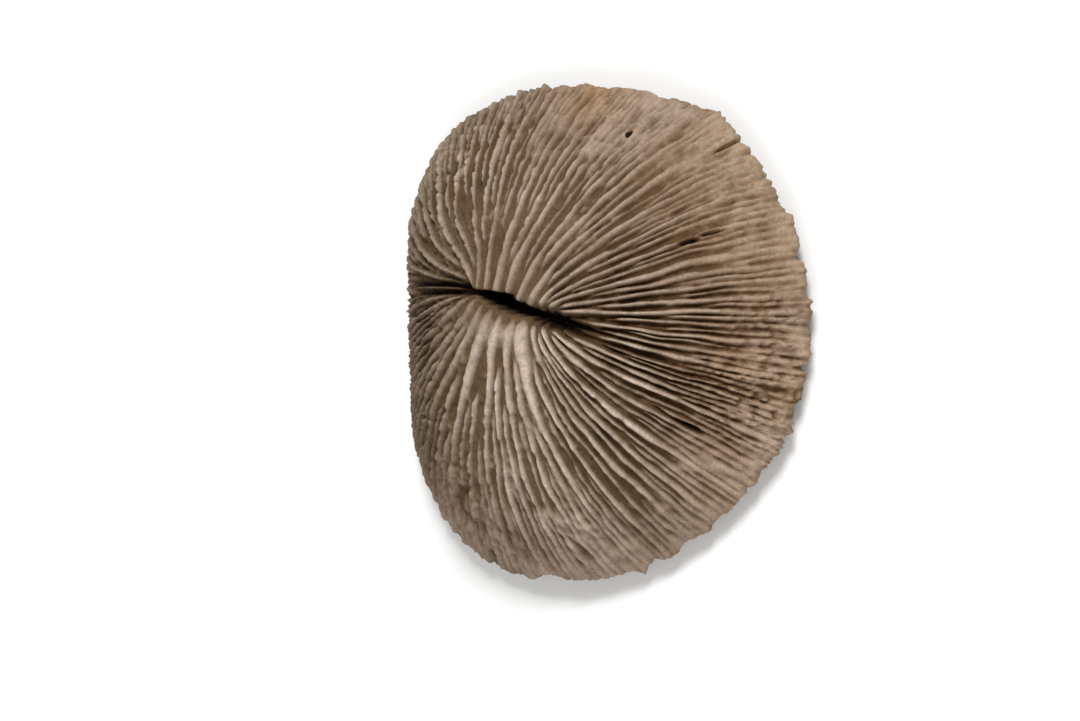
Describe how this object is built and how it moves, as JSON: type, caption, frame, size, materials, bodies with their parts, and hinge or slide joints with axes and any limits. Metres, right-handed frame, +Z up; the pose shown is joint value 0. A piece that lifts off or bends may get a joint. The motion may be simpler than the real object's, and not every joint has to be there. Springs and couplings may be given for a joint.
{
  "type": "mushroom coral",
  "caption": "Domed disc of a mushroom coral skeleton: ridges fan out from a slit-shaped mouth to a thin toothed rim, and it rests on a flat underside.",
  "frame": {"origin": "middle of the flat underside that it rests on", "axes": "+Z up through the dome, +X across the mouth, +Y along the mouth"},
  "size_m": [0.1114, 0.1078, 0.0394],
  "materials": {
    "lime": "matte, worn and slightly dusty"
  },
  "bodies": {
    "root": {"coral": "lime"}
  },
  "joints": []
}
